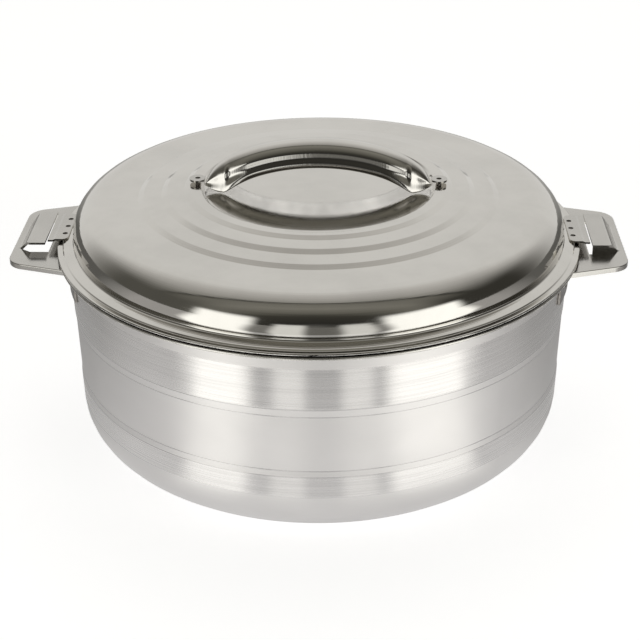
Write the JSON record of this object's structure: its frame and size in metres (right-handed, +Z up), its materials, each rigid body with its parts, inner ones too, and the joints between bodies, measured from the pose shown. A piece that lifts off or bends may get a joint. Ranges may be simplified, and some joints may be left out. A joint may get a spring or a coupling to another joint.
{
  "type": "insulated casserole",
  "caption": "Round double-walled steel casserole with two stamped side handles and a lift-off insulated lid with an arched strap handle, for keeping flatbread warm.",
  "frame": {"origin": "centre of the base, on the table", "axes": "+Z up, +X through the right side handle, -Y towards the front"},
  "size_m": [0.326, 0.28, 0.1644],
  "materials": {
    "satin_steel": "satin",
    "polished_steel": "polished",
    "weld": "satin",
    "foam": "matte",
    "plug": "matte"
  },
  "bodies": {
    "pot": {"outer_bowl": "satin_steel", "inner_bowl": "satin_steel", "bowl_insulation": "foam", "bowl_fill_plug": "plug", "right_handle_plate": "polished_steel", "right_handle_bracket": "satin_steel", "right_bracket_welds": "weld", "left_handle_plate": "polished_steel", "left_handle_bracket": "satin_steel", "left_bracket_welds": "weld"},
    "lid": {"lid_shell": "polished_steel", "lid_liner": "satin_steel", "lid_insulation": "foam", "lid_fill_plug": "plug", "lid_handle": "polished_steel", "right_handle_foot": "polished_steel", "left_handle_foot": "polished_steel", "right_foot_weld": "weld", "left_foot_weld": "weld", "right_lid_lug": "polished_steel", "left_lid_lug": "polished_steel", "right_lug_welds": "weld", "left_lug_welds": "weld"}
  },
  "joints": [
    {"name": "lid_lift", "type": "slide", "parent": "pot", "child": "lid", "axis": [0, 0, 1], "range_m": [0, 0.12]}
  ]
}
